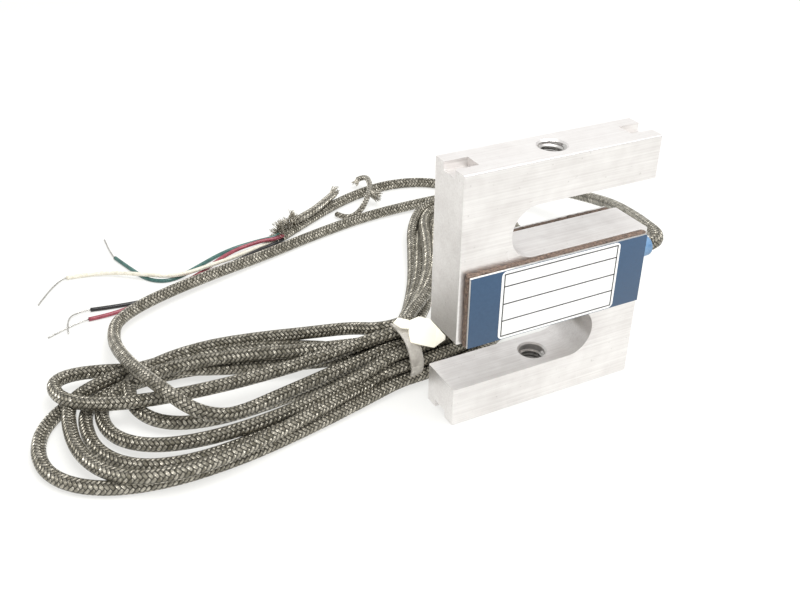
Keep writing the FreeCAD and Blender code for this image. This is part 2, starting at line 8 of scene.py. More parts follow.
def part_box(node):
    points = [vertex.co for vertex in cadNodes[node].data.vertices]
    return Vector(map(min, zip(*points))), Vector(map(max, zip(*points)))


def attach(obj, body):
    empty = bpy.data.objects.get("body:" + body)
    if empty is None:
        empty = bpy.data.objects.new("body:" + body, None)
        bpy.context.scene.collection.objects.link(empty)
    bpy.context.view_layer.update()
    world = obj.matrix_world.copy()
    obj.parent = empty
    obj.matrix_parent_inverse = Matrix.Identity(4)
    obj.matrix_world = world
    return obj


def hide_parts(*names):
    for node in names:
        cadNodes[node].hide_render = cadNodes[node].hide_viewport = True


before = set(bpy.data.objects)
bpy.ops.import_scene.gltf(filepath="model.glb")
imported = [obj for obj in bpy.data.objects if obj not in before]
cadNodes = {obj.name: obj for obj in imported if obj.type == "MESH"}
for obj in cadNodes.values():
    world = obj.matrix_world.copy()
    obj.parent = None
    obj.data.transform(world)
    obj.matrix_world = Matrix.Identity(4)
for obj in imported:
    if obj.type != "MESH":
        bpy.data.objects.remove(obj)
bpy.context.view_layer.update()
print("frame loaded")

# camera

camera = {
    "place": (-0.11776, -0.15583, 0.14184),
    "turn": 27.555,  # degrees clockwise from +Y, seen from above
    "down": 31.47,
    "roll": 0.705,
    "lens": 42.96,
    "sensor": 36,
    "nearest": 0.01,  # metres
}


def show(piece):
    bpy.context.scene.collection.objects.link(piece)


def makeCamera():
    turn, down, roll = (math.radians(camera[key]) for key in ("turn", "down", "roll"))
    look = Vector((math.sin(turn) * math.cos(down), math.cos(turn) * math.cos(down), -math.sin(down)))
    level = look.cross(Vector((0, 0, 1))).normalized()
    upright = level.cross(look)
    across = level * math.cos(roll) + upright * math.sin(roll)
    up = upright * math.cos(roll) - level * math.sin(roll)
    data = bpy.data.cameras.new("camera")
    data.lens = camera["lens"]
    data.sensor_width = camera["sensor"]
    data.clip_start = camera["nearest"]
    seen = bpy.data.objects.new("camera", data)
    show(seen)
    facing = Matrix((across, up, -look)).transposed().to_4x4()
    seen.matrix_world = Matrix.Translation(camera["place"]) @ facing
    bpy.context.scene.camera = seen


makeCamera()

# small helpers for pieces

mergeReach = 0.000001  # points nearer than this become one


def deselectAll():
    if bpy.context.object and bpy.context.object.mode != "OBJECT":
        bpy.ops.object.mode_set(mode="OBJECT")
    bpy.ops.object.select_all(action="DESELECT")


def pick(piece):
    deselectAll()
    piece.select_set(True)
    bpy.context.view_layer.objects.active = piece


def editAll():
    bpy.ops.object.mode_set(mode="EDIT")
    bpy.ops.mesh.select_all(action="SELECT")


def leaveEdit():
    bpy.ops.object.mode_set(mode="OBJECT")


def setPlace(piece):
    # the piece's place goes into its mesh
    pick(piece)
    bpy.ops.object.transform_apply(location=True, rotation=True, scale=True)


def applyModifiers(piece):
    pick(piece)
    for modifier in list(piece.modifiers):
        bpy.ops.object.modifier_apply(modifier=modifier.name)


def closeUp(piece, smoothAngle=35):
    # doubles merged, faces outwards, soft shading up to an angle
    pick(piece)
    editAll()
    bpy.ops.mesh.remove_doubles(threshold=mergeReach)
    bpy.ops.mesh.normals_make_consistent(inside=False)
    leaveEdit()
    bpy.ops.object.shade_smooth_by_angle(angle=math.radians(smoothAngle))


def newForm(name, add, scale=(1, 1, 1), **settings):
    # add is the operator that makes the form, and settings are what it's told
    deselectAll()
    add(**settings)
    piece = bpy.context.object
    piece.name = name
    piece.scale = scale
    setPlace(piece)
    return piece


def cubePiece(name, low, high):
    low, high = Vector(low), Vector(high)
    add = bpy.ops.mesh.primitive_cube_add
    return newForm(name, add, high - low, size=1, location=(low + high) / 2)


def giveWall(piece, thickness):
    wall = piece.modifiers.new("wall", "SOLIDIFY")
    wall.thickness = thickness
    wall.offset = 0


def softenEdges(piece, width, smoothAngle=35):
    edge = piece.modifiers.new("edge", "BEVEL")
    edge.width = width
    edge.segments = 2
    applyModifiers(piece)
    closeUp(piece, smoothAngle)


def dress(piece, material, replaced=()):
    piece.data.materials.clear()
    piece.data.materials.append(material)
    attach(piece, "root")
    if replaced:
        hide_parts(*replaced)
    return piece


def meshPiece(name, points, faces, uvs):
    mesh = bpy.data.meshes.new(name)
    mesh.from_pydata(points, [], faces)
    layer = mesh.uv_layers.new(name="along")
    for loop, uv in zip(layer.data, uvs):
        loop.uv = uv
    piece = bpy.data.objects.new(name, mesh)
    show(piece)
    for polygon in mesh.polygons:
        polygon.use_smooth = True
    return piece


# helpers for materials


def feed(tree, node, sockets):
    # each socket gets a link or a plain value
    for key, value in sockets.items():
        if isinstance(value, bpy.types.NodeSocket):
            tree.links.new(value, node.inputs[key])
        else:
            node.inputs[key].default_value = value


def addNode(tree, kind, sockets=None, **settings):
    node = tree.nodes.new(kind)
    for name, value in settings.items():
        setattr(node, name, value)
    feed(tree, node, sockets or {})
    return node


def calc(tree, operation, *values):
    return addNode(tree, "ShaderNodeMath", dict(enumerate(values)), operation=operation).outputs[0]


def times(tree, *values):
    return calc(tree, "MULTIPLY", *values)


def plus(tree, *values):
    return calc(tree, "ADD", *values)


def blend(tree, share, low, high):
    # share is 0 for low and 1 for high; both are colours
    node = addNode(tree, "ShaderNodeMix", {0: share, 6: low, 7: high}, data_type="RGBA")
    return node.outputs[2]


def spread(tree, value, fromLow, fromHigh, toLow, toHigh):
    sockets = {0: value, 1: fromLow, 2: fromHigh, 3: toLow, 4: toHigh}
    return addNode(tree, "ShaderNodeMapRange", sockets).outputs[0]


def newGroup(name, inputs, outputs):
    tree = bpy.data.node_groups.new(name, "ShaderNodeTree")
    for socketName, kind, value in inputs:
        socket = tree.interface.new_socket(socketName, in_out="INPUT", socket_type="NodeSocket" + kind)
        if value is not None:
            socket.default_value = value
    for socketName, kind in outputs:
        tree.interface.new_socket(socketName, in_out="OUTPUT", socket_type="NodeSocket" + kind)
    return tree, addNode(tree, "NodeGroupInput").outputs, addNode(tree, "NodeGroupOutput")


def useGroup(tree, group, sockets):
    return addNode(tree, "ShaderNodeGroup", sockets, node_tree=group).outputs


# two noises make the grain, and the share of each; between the edges it goes from dark to light
grainForm = {"coarseRough": 0.6, "coarseShare": 0.65, "fineScale": 4.3, "fineDetail": 3.0, "fineShare": 0.35,
             "edges": (0.35, 0.65)}


def makeGrainGroup():
    # streaks or specks: the stretch of the pattern along each axis sets which
    tree, given, result = newGroup(
        "finishGrain",
        [("Vector", "Vector", None), ("Stretch", "Vector", (1, 1, 1)), ("Detail", "Float", 4.0)],
        [("Mask", "Float"), ("Height", "Float")])
    form = grainForm
    placed = addNode(tree, "ShaderNodeVectorMath", {0: given["Vector"], 1: given["Stretch"]},
                     operation="MULTIPLY").outputs[0]
    coarse = addNode(tree, "ShaderNodeTexNoise", {
        "Vector": placed, "Scale": 1.0, "Detail": given["Detail"], "Roughness": form["coarseRough"]})
    fine = addNode(tree, "ShaderNodeTexNoise", {
        "Vector": placed, "Scale": form["fineScale"], "Detail": form["fineDetail"]})
    both = plus(tree, times(tree, coarse.outputs[0], form["coarseShare"]),
                times(tree, fine.outputs[0], form["fineShare"]))
    feed(tree, result, {"Mask": spread(tree, both, *form["edges"], 0.0, 1.0), "Height": both})
    return tree


# scratches are bent cracks shown in a few patches only, and specks are the peaks of a fine noise
markForm = {"bendScale": 60.0, "bend": 0.004, "crackScale": 0.5, "crackWidth": 0.02, "patchScale": 130.0,
            "patchEdges": (0.62, 0.7), "speckScale": 4.0, "speckEdges": (0.7, 0.76)}


def makeMarkGroup():
    # handling marks: sparse thin scratches and small dark specks
    tree, given, result = newGroup(
        "handlingMarks",
        [("Vector", "Vector", None), ("Scale", "Float", 300.0), ("Amount", "Float", 0.2)],
        [("Scratches", "Float"), ("Specks", "Float")])
    form = markForm
    bent = addNode(tree, "ShaderNodeTexNoise", {"Vector": given["Vector"], "Scale": form["bendScale"]})
    shifted = addNode(tree, "ShaderNodeVectorMath", {
        0: bent.outputs["Color"], 1: [form["bend"]] * 3, 2: given["Vector"]}, operation="MULTIPLY_ADD")
    crackScale = times(tree, given["Scale"], form["crackScale"])
    cracks = addNode(tree, "ShaderNodeTexVoronoi", {"Vector": shifted.outputs[0], "Scale": crackScale},
                     feature="DISTANCE_TO_EDGE")
    thin = spread(tree, cracks.outputs["Distance"], 0.0, form["crackWidth"], 1.0, 0.0)
    patches = addNode(tree, "ShaderNodeTexNoise", {"Vector": given["Vector"], "Scale": form["patchScale"]})
    chosen = spread(tree, patches.outputs[0], *form["patchEdges"], 0.0, 1.0)
    scratches = times(tree, times(tree, thin, chosen), given["Amount"])
    speckScale = times(tree, given["Scale"], form["speckScale"])
    dots = addNode(tree, "ShaderNodeTexNoise", {"Vector": given["Vector"], "Scale": speckScale})
    specks = spread(tree, dots.outputs[0], *form["speckEdges"], 0.0, 1.0)
    feed(tree, result, {"Scratches": scratches, "Specks": times(tree, specks, given["Amount"])})
    return tree


# how full the bands' arches are, across and lengthwise, how far wires stand out, and where gaps start
weaveForm = {"acrossFullness": 0.6, "lengthFullness": 0.5, "wireRelief": 0.10, "gapEdges": (0.15, 0.75)}


def makeBraidGroup():
    # woven shield: two sets of flat bands wound both ways, each over two and under two
    tree, given, result = newGroup(
        "braidWeave",
        [("UV", "Vector", None), ("Bands", "Float", 8.0), ("Pitch", "Float", 900.0),
         ("Wires", "Float", 4.0)],
        [("Height", "Float"), ("Gap", "Float"), ("Shade", "Float")])
    form = weaveForm
    parts = addNode(tree, "ShaderNodeSeparateXYZ", {0: given["UV"]})
    along = times(tree, parts.outputs[0], given["Pitch"])
    around = times(tree, parts.outputs[1], given["Bands"])
    first, second = plus(tree, around, along), calc(tree, "SUBTRACT", around, along)
    firstCell, secondCell = calc(tree, "FLOOR", first), calc(tree, "FLOOR", second)
    cells = calc(tree, "FLOORED_MODULO", plus(tree, firstCell, secondCell), 4.0)
    over = calc(tree, "LESS_THAN", cells, 1.5)

    def choose(low, high):
        return addNode(tree, "ShaderNodeMix", {0: over, 2: low, 3: high}, data_type="FLOAT").outputs[0]

    firstPart, secondPart = calc(tree, "FRACT", first), calc(tree, "FRACT", second)
    across, bandNumber = choose(firstPart, secondPart), choose(firstCell, secondCell)
    halfway = calc(tree, "FLOORED_MODULO", cells, 2.0)
    lengthwise = times(tree, plus(tree, halfway, choose(secondPart, firstPart)), 0.5)
    bandArch = calc(tree, "SINE", times(tree, across, math.pi))
    runArch = calc(tree, "SINE", times(tree, lengthwise, math.pi))
    wireCount = times(tree, across, given["Wires"])
    ridges = calc(tree, "SINE", times(tree, wireCount, 2 * math.pi))
    arch = times(tree, calc(tree, "POWER", bandArch, form["acrossFullness"]),
                calc(tree, "POWER", runArch, form["lengthFullness"]))
    height = calc(tree, "MULTIPLY_ADD", times(tree, ridges, arch), form["wireRelief"], arch)
    gap = spread(tree, arch, *form["gapEdges"], 1.0, 0.0)
    stretch = calc(tree, "FLOOR", times(tree, calc(tree, "SUBTRACT", first, second), 0.5))
    place = addNode(tree, "ShaderNodeCombineXYZ", {0: bandNumber, 1: stretch, 2: over})
    tint = addNode(tree, "ShaderNodeTexWhiteNoise", {"Vector": place.outputs[0]}, noise_dimensions="3D")
    feed(tree, result, {"Height": height, "Gap": gap, "Shade": tint.outputs["Value"]})
    return tree


finishGrain = makeGrainGroup()
handlingMarks = makeMarkGroup()
braidWeave = makeBraidGroup()


def newMaterial(name):
    material = bpy.data.materials.new(name)
    material.use_nodes = True
    tree = material.node_tree
    return material, tree, tree.nodes["Principled BSDF"]


def bumpOn(tree, surface, height, distance):
    bump = addNode(tree, "ShaderNodeBump", {"Height": height, "Distance": distance, "Strength": 1.0})
    feed(tree, surface, {"Normal": bump.outputs[0]})


def objectPlace(tree):
    return addNode(tree, "ShaderNodeTexCoord").outputs["Object"]


def lookOf(dark, light, stretch, rough, bump, marks, paintedGlow=0.0):
    # two colours, how the grain is stretched, how rough and how uneven it is, how many marks it bears, and
    # how much painted glow it gives off in its light colour, though it is no lamp
    return {"dark": dark, "light": light, "stretch": stretch, "rough": rough, "bump": bump, "marks": marks,
            "paintedGlow": paintedGlow}


def wireLook(dark, light):
    return lookOf(dark, light, (500,) * 3, (0.28, 0.42), 0.00001, 0.2)


finishes = {
    "brown_sealant": lookOf((0.020, 0.012, 0.009), (0.30, 0.21, 0.16),
                            (1500,) * 3, (0.55, 0.85), 0.00012, 0.3),
    "label_blue": lookOf((0.030, 0.074, 0.150), (0.040, 0.092, 0.175),
                         (1500,) * 3, (0.42, 0.52), 0.000003, 0.15),
    "label_white": lookOf((0.90, 0.90, 0.885), (0.95, 0.95, 0.94), (700,) * 3, (0.34, 0.46), 0.000003, 0.1),
    "gauge_film": lookOf((0.42, 0.22, 0.06), (0.60, 0.38, 0.16), (2200, 150, 150), (0.3, 0.5), 0.000008, 0.2),
    "terminal_board": lookOf((0.06, 0.16, 0.08), (0.10, 0.24, 0.13), (1200,) * 3, (0.35, 0.55), 0.00001, 0.2),
    "boot_blue": lookOf((0.10, 0.21, 0.38), (0.17, 0.31, 0.50), (400,) * 3, (0.30, 0.45), 0.00002, 0.2),
    # the flag's tape bears a painted glow that brightens it
    "tie_cream": lookOf((0.93, 0.90, 0.77), (0.98, 0.955, 0.84),
                        (350,) * 3, (0.35, 0.55), 0.00006, 0.1, paintedGlow=0.30),
    # the band is the same cream tape, greyed as painted shade
    "tie_painted_shade": lookOf((0.42, 0.39, 0.35), (0.66, 0.63, 0.57), (300,) * 3, (0.35, 0.55), 0.00006, 0.5),
    "wire_green": wireLook((0.030, 0.085, 0.078), (0.070, 0.17, 0.150)),
    "wire_white": wireLook((0.66, 0.62, 0.50), (0.84, 0.81, 0.72)),
    "wire_red": wireLook((0.20, 0.030, 0.050), (0.36, 0.075, 0.10)),
    "wire_black": wireLook((0.008, 0.008, 0.009), (0.028, 0.028, 0.030)),
    "label_ink": lookOf((0.010, 0.010, 0.012), (0.030, 0.030, 0.034), (900,) * 3, (0.4, 0.5), 0.000001, 0.1),
}


# the handling marks of plain finishes: their scale, the dirt's colour, and how much a scratch roughens
plainMarks = {"scale": 400.0, "dirt": (0.12, 0.10, 0.08, 1), "roughening": 0.3}


def plainMaterial(name):
    # plastics, paints, print and sealant
    look = finishes[name]
    material, tree, surface = newMaterial(name)
    place = objectPlace(tree)
    grain = useGroup(tree, finishGrain, {"Vector": place, "Stretch": look["stretch"]})
    marks = useGroup(tree, handlingMarks, {
        "Vector": place, "Scale": plainMarks["scale"], "Amount": look["marks"]})
    colour = blend(tree, grain["Mask"], (*look["dark"], 1), (*look["light"], 1))
    soiled = blend(tree, marks["Specks"], colour, plainMarks["dirt"])
    rough = spread(tree, grain["Mask"], 0.0, 1.0, *look["rough"])
    rubbed = times(tree, marks["Scratches"], plainMarks["roughening"])
    # the light colour is given off as painted glow, at the strength the finish sets
    feed(tree, surface, {"Base Color": soiled, "Roughness": plus(tree, rough, rubbed),
                         "Emission Color": (*look["light"], 1), "Emission Strength": look["paintedGlow"]})
    bumpOn(tree, surface, grain["Height"], look["bump"])
    return material


# machined metals; the stretch follows the tool marks
metals = {
    "machined_aluminium": lookOf((0.74, 0.71, 0.695), (0.95, 0.935, 0.92),
                                 (25, 2600, 2600), (0.34, 0.50), 0.000012, 0.3),
    "cover_plate": lookOf((0.62, 0.61, 0.60), (0.82, 0.815, 0.80),
                          (60, 900, 1400), (0.30, 0.46), 0.000010, 0.6),
    "tinned_strand": lookOf((0.40, 0.39, 0.37), (0.78, 0.77, 0.74), (900,) * 3, (0.28, 0.45), 0.00001, 0.2),
    "bare_shield": lookOf((0.17, 0.155, 0.125), (0.74, 0.70, 0.61), (800,) * 3, (0.26, 0.46), 0.00002, 0.3),
    "thread_steel": lookOf((0.30, 0.29, 0.28), (0.80, 0.79, 0.77), (500,) * 3, (0.30, 0.50), 0.00001, 0.3),
}


# what all the metals share: fine tool marks over broad cloudy patches, bright scratches and dull specks
metalForm = {"metallic": 0.92, "grainDetail": 6.0, "grainShare": 0.55, "cloudStretch": (90,) * 3,
             "cloudDetail": 3.0, "cloudShare": 0.45, "markScale": 260.0, "scratch": (0.95, 0.95, 0.94, 1),
             "dirt": (0.42, 0.40, 0.38, 1)}


def metalMaterial(name):
    look, form = metals[name], metalForm
    material, tree, surface = newMaterial(name)
    place = objectPlace(tree)
    grain = useGroup(tree, finishGrain, {
        "Vector": place, "Stretch": look["stretch"], "Detail": form["grainDetail"]})
    clouds = useGroup(tree, finishGrain, {
        "Vector": place, "Stretch": form["cloudStretch"], "Detail": form["cloudDetail"]})
    marks = useGroup(tree, handlingMarks, {
        "Vector": place, "Scale": form["markScale"], "Amount": look["marks"]})
    share = plus(tree, times(tree, grain["Mask"], form["grainShare"]),
                 times(tree, clouds["Mask"], form["cloudShare"]))
    colour = blend(tree, share, (*look["dark"], 1), (*look["light"], 1))
    scratched = blend(tree, marks["Scratches"], colour, form["scratch"])
    soiled = blend(tree, marks["Specks"], scratched, form["dirt"])
    low, high = look["rough"]
    feed(tree, surface, {"Base Color": soiled, "Metallic": form["metallic"],
                         "Roughness": spread(tree, share, 0.0, 1.0, high, low)})
    bumpOn(tree, surface, grain["Height"], look["bump"])
    return material


# the woven shield and its pulled-out tails: how many bands each way, how tightly they wind, and the metal
braids = {
    # the gap colour is painted shade between the bands
    "woven_shield": {"bands": 8.0, "pitch": 900.0, "wires": 4.0, "paintedGapShade": (0.030, 0.027, 0.020),
                     "dull": (0.245, 0.226, 0.176), "bright": (0.88, 0.83, 0.71), "bump": 0.00055},
    "pulled_shield": {"bands": 5.0, "pitch": 700.0, "wires": 5.0, "paintedGapShade": (0.060, 0.052, 0.040),
                      "dull": (0.40, 0.37, 0.30), "bright": (0.95, 0.91, 0.80), "bump": 0.00060},
}


# how the braid's bands differ: their painted sheen, the stains over them, and how metallic bands and gaps are
braidForm = {"paintedSheenPower": 1.2, "stainStretch": (160,) * 3, "stained": 0.55, "metallic": (0.90, 0.3),
             "rough": (0.42, 0.24)}


def braidMaterial(name):
    look, form = braids[name], braidForm
    material, tree, surface = newMaterial(name)
    place = addNode(tree, "ShaderNodeUVMap", uv_map="along").outputs[0]
    weave = useGroup(tree, braidWeave, {
        "UV": place, "Bands": look["bands"], "Pitch": look["pitch"], "Wires": look["wires"]})
    stains = useGroup(tree, finishGrain, {"Vector": objectPlace(tree), "Stretch": form["stainStretch"]})
    # painted sheen: random bands take the bright colour, partly their own tone and partly a painted highlight
    sheen = times(tree, calc(tree, "POWER", weave["Shade"], form["paintedSheenPower"]),
                 spread(tree, stains["Mask"], 0.0, 1.0, form["stained"], 1.0))
    metal = blend(tree, sheen, (*look["dull"], 1), (*look["bright"], 1))
    # painted shade: the gaps between bands are darkened where shade falls between the wires
    colour = blend(tree, weave["Gap"], metal, (*look["paintedGapShade"], 1))
    feed(tree, surface, {"Base Color": colour,
                         "Metallic": spread(tree, weave["Gap"], 0.0, 1.0, *form["metallic"]),
                         "Roughness": spread(tree, weave["Shade"], 0.0, 1.0, *form["rough"])})
    bumpOn(tree, surface, weave["Height"], look["bump"])
    return material


materials = {name: plainMaterial(name) for name in finishes}
materials.update({name: metalMaterial(name) for name in metals})
materials.update({name: braidMaterial(name) for name in braids})
print("materials made")

# cords

# the cable: its route from the boot to the cut end, in metres
cable = {
    "diameter": 0.0033,
    "length": 3.0,
    "spacing": 0.0011, "sides": 18,  # of the drawn tube
    "boot": [
        (0.0317, 0, 0.03175), (0.0346, 0, 0.03175), (0.0372, 0.0028, 0.0321), (0.0389, 0.0082, 0.0312),
        (0.0446, 0.0198, 0.0276), (0.0526, 0.0378, 0.0217), (0.059, 0.0563, 0.0148), (0.0606, 0.0716, 0.0102),
        (0.0546, 0.084, 0.007), (0.042, 0.0934, 0.0046), (0.0235, 0.0992, 0.0022), (0.0015, 0.0988, 0.0017),
        (-0.018, 0.0942, 0.0017), (-0.0375, 0.088, 0.0019), (-0.0575, 0.0816, 0.0030),
        (-0.0755, 0.0754, 0.0032), (-0.0858, 0.0688, 0.0034), (-0.0886, 0.06, 0.0042),
    ],
    "curl": [  # over the left turns and into the tie
        (-0.0896, 0.0490, 0.0072), (-0.0884, 0.0358, 0.0100), (-0.0850, 0.0240, 0.0108),
        (-0.0806, 0.0154, 0.0090), (-0.0746, 0.0130, 0.0066), (-0.0684, 0.0144, 0.0052),
        (-0.0610, 0.0162, 0.0050), (-0.0535, 0.0174, 0.0052), (-0.0450, 0.0180, 0.0062),
        (-0.0360, 0.0184, 0.0072),
    ],
    "lastTurn": [  # from the tie, behind the block, to the far side
        (-0.014, 0.0165, 0.0112), (-0.002, 0.0130, 0.0108), (0.012, 0.0126, 0.0100), (0.026, 0.0165, 0.0085),
        (0.0380, 0.0280, 0.0074), (0.0420, 0.0440, 0.0052), (0.0412, 0.0600, 0.0028),
    ],
    "tail": [
        (0.0408, 0.0745, 0.0017), (0.0420, 0.0890, 0.00165), (0.0408, 0.1030, 0.00165),
        (0.034, 0.114, 0.00165), (0.0196, 0.1184, 0.00165), (0.0036, 0.1148, 0.00165),
        (-0.0113, 0.1076, 0.00165), (-0.0279, 0.0976, 0.00165),
    ],
}

# the bundle at the tie: where the loops meet, how far each pass runs straight on both sides, and the
# first pass of the cable, as (y, z)
tie = {"x": -0.026, "middle": 0.0188, "half": 0.004, "firstPass": (0.0186, 0.0082)}

# the loops behind the block share one form, and each turn lies in its own lanes of it
rightLoop = {"tip": (0.0268, 0.0825), "bows": (0.0220, 0.0150), "pulls": (0.15, 2.6)}
lanePitch = 0.0034
glance = 0.01  # how far ahead on a loop its heading is taken
halfSteps = 8  # points on each half of a loop

# each turn: the loop behind the block, with its lanes and heights, and the pass to the left; then the loop
# on the left, with its tip, how far and where each side bows out and its heights, and the pass back
turns = [
    {"lanes": (1.0, 2.2, 0.9), "rises": (0.0080, 0.0070, 0.0017), "farPass": (0.0222, 0.0025),
     "tip": (-0.1141, 0.0243), "bows": (0.0270, 0.0262), "pulls": (0.4, 0.8),
     "levels": (0.0017, 0.0017, 0.0017), "nearPass": (0.0122, 0.0025)},
    {"lanes": (2.0, 1.7, -0.2), "rises": (0.0017, 0.0017, 0.0017), "farPass": (0.0189, 0.0025),
     "tip": (-0.1052, 0.0354), "bows": (0.0150, 0.0450), "pulls": (0.15, 0.9),
     "levels": (0.0046, 0.0034, 0.0050), "nearPass": (0.0155, 0.0025)},
    {"lanes": (1.0, 1.0, 0.4), "rises": (0.0017, 0.0019, 0.0046), "farPass": (0.0238, 0.0053),
     "tip": (-0.1022, 0.0324), "bows": (0.0160, 0.0335), "pulls": (0.7, 1.05),
     "levels": (0.0018, 0.0017, 0.0020), "nearPass": (0.0139, 0.0053)},
    {"lanes": (1.5, 1.4, -0.4), "rises": (0.0047, 0.0050, 0.0075), "farPass": (0.0222, 0.0082),
     "tip": (-0.0985, 0.0320), "bows": (0.0144, 0.0258), "pulls": (1.2, 0.8),
     "levels": (0.0070, 0.0022, 0.0046), "nearPass": (0.0156, 0.0082)},
    {"lanes": (0.1, -0.5, -1.0), "rises": (0.0076, 0.0044, 0.0080), "farPass": (0.0235, 0.0110),
     "tip": (-0.0905, 0.0373), "bows": (0.0122, 0.0266), "pulls": (0.25, 1.6),
     "levels": (0.0060, 0.0038, 0.0018), "nearPass": (0.0172, 0.0053)},
    {"lanes": (0.5, 0.4, -0.8), "rises": (0.0046, 0.0048, 0.0050), "farPass": (0.0205, 0.0053),
     "tip": (-0.1067, 0.0446), "bows": (0.0110, 0.0190), "pulls": (2.6, 1.0),
     "levels": (0.0034, 0.0050, 0.0070), "nearPass": (0.0205, 0.0110)},
]


def eased(values, share):
    # eased steps through evenly spaced values, from the first at 0 to the last at 1
    index, part = divmod(share * (len(values) - 1), 1)
    if index >= len(values) - 1:
        return values[-1]
    low, high = values[int(index)], values[int(index) + 1]
    return low + (high - low) * (1 - math.cos(math.pi * part)) / 2


def loopPoint(share, startY, endY, form):
    # a drawn-out loop: out from the tie, round its tip, and back to the tie
    angle = 2 * math.pi * share
    along = (1 - math.cos(angle)) / 2
    half = 0 if share <= 0.5 else 1
    anchorY = (startY, endY)[half]
    axisX, axisY = form["tip"][0] - tie["x"], form["tip"][1] - anchorY
    reach = math.hypot(axisX, axisY)
    bow = form["bows"][half] * math.sin(angle) * along ** form["pulls"][half]
    return tie["x"] + axisX * along + axisY / reach * bow, anchorY + axisY * along - axisX / reach * bow


def loopShares():
    # evenly round a loop, but for its two ends, where the points at the tie take over
    return [step / (2 * halfSteps) for step in range(2, 2 * halfSteps - 1)]


def rightLoopPoints(start, end, turn):
    middle = tie["middle"]
    lanes = ((middle - start[0]) / lanePitch,) + turn["lanes"] + ((end[0] - middle) / lanePitch,)
    rises = (start[1],) + turn["rises"] + (end[1],)
    points = []
    for share in loopShares():
        x, y = loopPoint(share, middle, middle, rightLoop)
        aheadX, aheadY = loopPoint(share + glance, middle, middle, rightLoop)
        step = math.hypot(aheadX - x, aheadY - y)
        out = eased(lanes, share) * lanePitch / step
        points.append((x + (aheadY - y) * out, y - (aheadX - x) * out, eased(rises, share)))
    return points


def leftLoopPoints(start, end, turn):
    levels = (start[1],) + turn["levels"] + (end[1],)
    return [(*loopPoint(share, start[0], end[0], turn), eased(levels, share)) for share in loopShares()]


def throughTie(place, toTheRight):
    # two points, one on each side of the band
    ends = [(tie["x"] - tie["half"], *place), (tie["x"] + tie["half"], *place)]
    return ends if toTheRight else ends[::-1]


def cableRoute():
    near = tie["firstPass"]
    points = cable["boot"] + cable["curl"] + throughTie(near, True)
    for turn in turns:
        points += rightLoopPoints(near, turn["farPass"], turn) + throughTie(turn["farPass"], False)
        near = turn["nearPass"]
        points += leftLoopPoints(turn["farPass"], near, turn) + throughTie(near, True)
    return points + cable["lastTurn"] + cable["tail"]


# the smooth line: how closely it follows its points, how finely it is cut, and the fewest steps on it
routeForm = {"order": 3, "resolution": 12, "fewest": 4}


def followRoute(points, spacing):
    # evenly spaced places on the smooth line that the route's points control
    curve = bpy.data.curves.new("route", "CURVE")
    curve.dimensions = "3D"
    spline = curve.splines.new("NURBS")
    spline.points.add(len(points) - 1)
    for control, place in zip(spline.points, points):
        control.co = (*place, 1)
    spline.order_u = routeForm["order"]
    spline.use_endpoint_u = True
    spline.resolution_u = routeForm["resolution"]
    route = bpy.data.objects.new("route", curve)
    show(route)
    line = bpy.data.meshes.new_from_object(route)
    places = [vertex.co.copy() for vertex in line.vertices]
    bpy.data.objects.remove(route)
    bpy.data.meshes.remove(line)
    lengths = [0.0]
    for before, after in zip(places, places[1:]):
        lengths.append(lengths[-1] + (after - before).length)
    count = max(routeForm["fewest"], round(lengths[-1] / spacing))
    even, index = [], 0
    for step in range(count + 1):
        wanted = lengths[-1] * step / count
        while index < len(places) - 2 and lengths[index + 1] < wanted:
            index += 1
        share = (wanted - lengths[index]) / (lengths[index + 1] - lengths[index])
        even.append(places[index].lerp(places[index + 1], min(share, 1.0)))
    return even


def lineFrames(path):
    # at each place two directions square to the line, carried along without a twist
    frames = []
    side = None
    for i, place in enumerate(path):
        heading = (path[min(i + 1, len(path) - 1)] - path[max(i - 1, 0)]).normalized()
        if side is None:
            side = heading.orthogonal()
        side = (side - heading * side.dot(heading)).normalized()
        frames.append((place, side, heading.cross(side)))
    return frames


def tubeParts(path, radius, sides, start=0, thinning=0.0):
    # points, faces and UV of one closed tube; its UV runs along in metres and once around
    points, faces, uvs = [], [], []
    step = (path[1] - path[0]).length
    last = len(path) - 1
    for i, (place, side, up) in enumerate(lineFrames(path)):
        reach = radius * (1 - thinning * (i / last))
        for k in range(sides):
            angle = 2 * math.pi * k / sides
            points.append(place + (side * math.cos(angle) + up * math.sin(angle)) * reach)
    for i in range(last):
        for k in range(sides):
            a, b = i * sides + k, i * sides + (k + 1) % sides
            faces.append((start + a, start + b, start + b + sides, start + a + sides))
            low, high = k / sides, (k + 1) / sides
            uvs += [(i * step, low), (i * step, high), ((i + 1) * step, high), ((i + 1) * step, low)]
    for ring, order in ((0, -1), (last, 1)):
        corners = [start + ring * sides + k for k in range(sides)][::order]
        faces.append(tuple(corners))
        uvs += [(ring * step, 0.5)] * sides
    return points, faces, uvs


def tubePiece(name, path, radius, sides):
    return meshPiece(name, *tubeParts(path, radius, sides))


def manyTubes(name, tubes, sides, thinning=0.0):
    # one piece of many thin tubes; each entry is its path and its radius
    points, faces, uvs = [], [], []
    for path, radius in tubes:
        more = tubeParts(path, radius, sides, len(points), thinning)
        points, faces, uvs = points + more[0], faces + more[1], uvs + more[2]
    return meshPiece(name, points, faces, uvs)


# how unevenly fine wires are laid: their start, reach and looseness vary, and each wavers along its way
strandForm = {"sides": 6, "starts": 0.15, "reaches": (0.88, 1.1), "loosest": 0.12, "wavers": 9}


